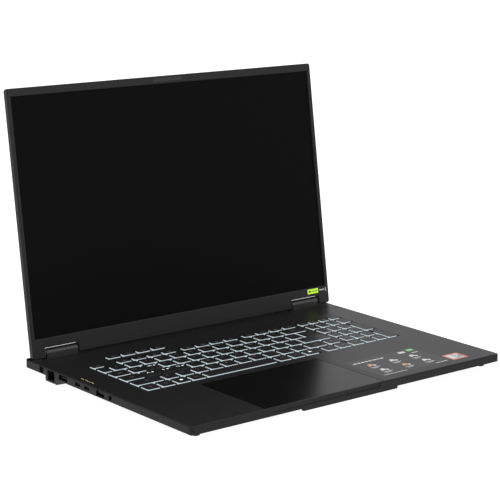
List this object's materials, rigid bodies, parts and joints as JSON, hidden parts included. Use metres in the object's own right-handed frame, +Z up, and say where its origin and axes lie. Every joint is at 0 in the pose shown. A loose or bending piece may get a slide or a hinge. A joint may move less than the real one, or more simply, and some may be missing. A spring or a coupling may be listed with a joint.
{
  "type": "laptop computer",
  "caption": "Large clamshell portable computer with a tilting lid and screen, full keyboard with numeric pad, off-centre touchpad, side sockets and rear exhaust.",
  "frame": {"origin": "bottom centre of the open machine, on the surface that its feet stand on", "axes": "+X to the user's right, +Y from the front edge to the rear, +Z up; the lid is stored 99 degrees open"},
  "size_m": [0.399, 0.3025, 0.29],
  "materials": {
    "deck_shell": "satin",
    "underside_shell": "fine texture",
    "lid_shell": "satin",
    "bezel_plastic": "fine texture",
    "screen_glass": "anti-glare",
    "key_cap": "satin",
    "key_plate": "matt",
    "touch_surface": "satin",
    "hinge_cover": "satin",
    "vent_plastic": "matt",
    "rubber": "matt",
    "screw_steel": "black",
    "hinge_steel": "satin",
    "socket_metal": "satin",
    "socket_plastic": "matt",
    "circuit_board": "satin",
    "camera_board": "gloss",
    "chip": "satin",
    "copper": "satin",
    "fins": "satin",
    "fan_plastic": "satin",
    "rotor_plastic": "satin",
    "battery_pack": "matt film",
    "speaker_box": "matt"
  },
  "bodies": {
    "base": {"top_case": "deck_shell", "bottom_case": "underside_shell", "keyboard_plate": "key_plate", "rear_grilles": "vent_plastic", "front_feet": "rubber", "front_foot_strip": "rubber", "rear_foot_strip": "rubber", "case_screws": "screw_steel", "hinge_screws": "screw_steel", "hinge_cover_left": "hinge_cover", "hinge_cover_right": "hinge_cover", "hinge_bracket_left": "hinge_steel", "hinge_bracket_right": "hinge_steel", "dc_inlet": "socket_plastic", "network_socket": "socket_plastic", "audio_jack": "socket_plastic", "hdmi_socket": "socket_metal", "usb_c_sockets": "socket_metal", "usb_a_socket_left": "socket_metal", "usb_a_socket_right": "socket_metal", "mainboard": "circuit_board", "memory_modules": "circuit_board", "ssd_module": "circuit_board", "wireless_card": "circuit_board", "processor_chip": "chip", "graphics_chip": "chip", "heat_pipes": "copper", "fin_stack_left": "fins", "fin_stack_right": "fins", "fan_housing_left": "fan_plastic", "fan_housing_right": "fan_plastic", "battery": "battery_pack", "speaker_left": "speaker_box", "speaker_right": "speaker_box"},
    "lid": {"lid_cover": "lid_shell", "bezel": "bezel_plastic", "display_panel": "screen_glass", "display_board": "circuit_board", "camera_module": "camera_board", "lid_bumpers": "rubber", "hinge_arm_left": "hinge_steel", "hinge_arm_right": "hinge_steel"},
    "fan_rotor_left_body": {"fan_rotor_left": "rotor_plastic"},
    "fan_rotor_right_body": {"fan_rotor_right": "rotor_plastic"},
    "touchpad_body": {"touchpad": "touch_surface"},
    "power_button_body": {"power_button": "key_cap"},
    "hot_keys_body": {"hot_keys": "key_cap"},
    "function_keys_body": {"function_keys": "key_cap"},
    "number_keys_body": {"number_keys": "key_cap"},
    "backspace_key_body": {"backspace_key": "key_cap"},
    "upper_letter_keys_body": {"upper_letter_keys": "key_cap"},
    "home_letter_keys_body": {"home_letter_keys": "key_cap"},
    "enter_key_body": {"enter_key": "key_cap"},
    "left_shift_key_body": {"left_shift_key": "key_cap"},
    "lower_letter_keys_body": {"lower_letter_keys": "key_cap"},
    "right_shift_key_body": {"right_shift_key": "key_cap"},
    "modifier_keys_body": {"modifier_keys": "key_cap"},
    "space_bar_body": {"space_bar": "key_cap"},
    "arrow_keys_body": {"arrow_keys": "key_cap"},
    "numpad_keys_body": {"numpad_keys": "key_cap"}
  },
  "joints": [
    {"name": "lid_hinge", "type": "hinge", "parent": "base", "child": "lid", "pos_m": [0, 0.1148, 0.02531], "axis": [-1, 0, 0], "range_deg": [-99, 41]},
    {"name": "fan_left_spin", "type": "hinge", "parent": "base", "child": "fan_rotor_left_body", "pos_m": [-0.092, 0.06053, 0.00803], "axis": [0, -0.0262, 0.9997], "continuous": true},
    {"name": "fan_right_spin", "type": "hinge", "parent": "base", "child": "fan_rotor_right_body", "pos_m": [0.092, 0.06053, 0.00803], "axis": [0, -0.0262, 0.9997], "continuous": true},
    {"name": "touchpad_click", "type": "hinge", "parent": "base", "child": "touchpad_body", "pos_m": [0, -0.05216, 0.01398], "axis": [1, 0, 0], "range_deg": [0, 0.3], "stiffness_Nm_per_rad": 8, "springref_deg": -0.8},
    {"name": "power_button_press", "type": "slide", "parent": "base", "child": "power_button_body", "axis": [0, 0.0262, -0.9997], "range_m": [0, 0.0005], "stiffness_N_per_m": 400, "springref_m": -0.0008},
    {"name": "hot_keys_press", "type": "slide", "parent": "base", "child": "hot_keys_body", "axis": [0, 0.0262, -0.9997], "range_m": [0, 0.0017], "stiffness_N_per_m": 1200, "springref_m": -0.0008},
    {"name": "function_keys_press", "type": "slide", "parent": "base", "child": "function_keys_body", "axis": [0, 0.0262, -0.9997], "range_m": [0, 0.0017], "stiffness_N_per_m": 1200, "springref_m": -0.0008},
    {"name": "number_keys_press", "type": "slide", "parent": "base", "child": "number_keys_body", "axis": [0, 0.0262, -0.9997], "range_m": [0, 0.0017], "stiffness_N_per_m": 1200, "springref_m": -0.0008},
    {"name": "backspace_key_press", "type": "slide", "parent": "base", "child": "backspace_key_body", "axis": [0, 0.0262, -0.9997], "range_m": [0, 0.0017], "stiffness_N_per_m": 400, "springref_m": -0.0008},
    {"name": "upper_letter_keys_press", "type": "slide", "parent": "base", "child": "upper_letter_keys_body", "axis": [0, 0.0262, -0.9997], "range_m": [0, 0.0017], "stiffness_N_per_m": 1200, "springref_m": -0.0008},
    {"name": "home_letter_keys_press", "type": "slide", "parent": "base", "child": "home_letter_keys_body", "axis": [0, 0.0262, -0.9997], "range_m": [0, 0.0017], "stiffness_N_per_m": 1200, "springref_m": -0.0008},
    {"name": "enter_key_press", "type": "slide", "parent": "base", "child": "enter_key_body", "axis": [0, 0.0262, -0.9997], "range_m": [0, 0.0017], "stiffness_N_per_m": 400, "springref_m": -0.0008},
    {"name": "left_shift_key_press", "type": "slide", "parent": "base", "child": "left_shift_key_body", "axis": [0, 0.0262, -0.9997], "range_m": [0, 0.0017], "stiffness_N_per_m": 400, "springref_m": -0.0008},
    {"name": "lower_letter_keys_press", "type": "slide", "parent": "base", "child": "lower_letter_keys_body", "axis": [0, 0.0262, -0.9997], "range_m": [0, 0.0017], "stiffness_N_per_m": 1200, "springref_m": -0.0008},
    {"name": "right_shift_key_press", "type": "slide", "parent": "base", "child": "right_shift_key_body", "axis": [0, 0.0262, -0.9997], "range_m": [0, 0.0017], "stiffness_N_per_m": 400, "springref_m": -0.0008},
    {"name": "modifier_keys_press", "type": "slide", "parent": "base", "child": "modifier_keys_body", "axis": [0, 0.0262, -0.9997], "range_m": [0, 0.0017], "stiffness_N_per_m": 1200, "springref_m": -0.0008},
    {"name": "space_bar_press", "type": "slide", "parent": "base", "child": "space_bar_body", "axis": [0, 0.0262, -0.9997], "range_m": [0, 0.0017], "stiffness_N_per_m": 400, "springref_m": -0.0008},
    {"name": "arrow_keys_press", "type": "slide", "parent": "base", "child": "arrow_keys_body", "axis": [0, 0.0262, -0.9997], "range_m": [0, 0.0017], "stiffness_N_per_m": 1200, "springref_m": -0.0008},
    {"name": "numpad_keys_press", "type": "slide", "parent": "base", "child": "numpad_keys_body", "axis": [0, 0.0262, -0.9997], "range_m": [0, 0.0017], "stiffness_N_per_m": 1200, "springref_m": -0.0008}
  ]
}
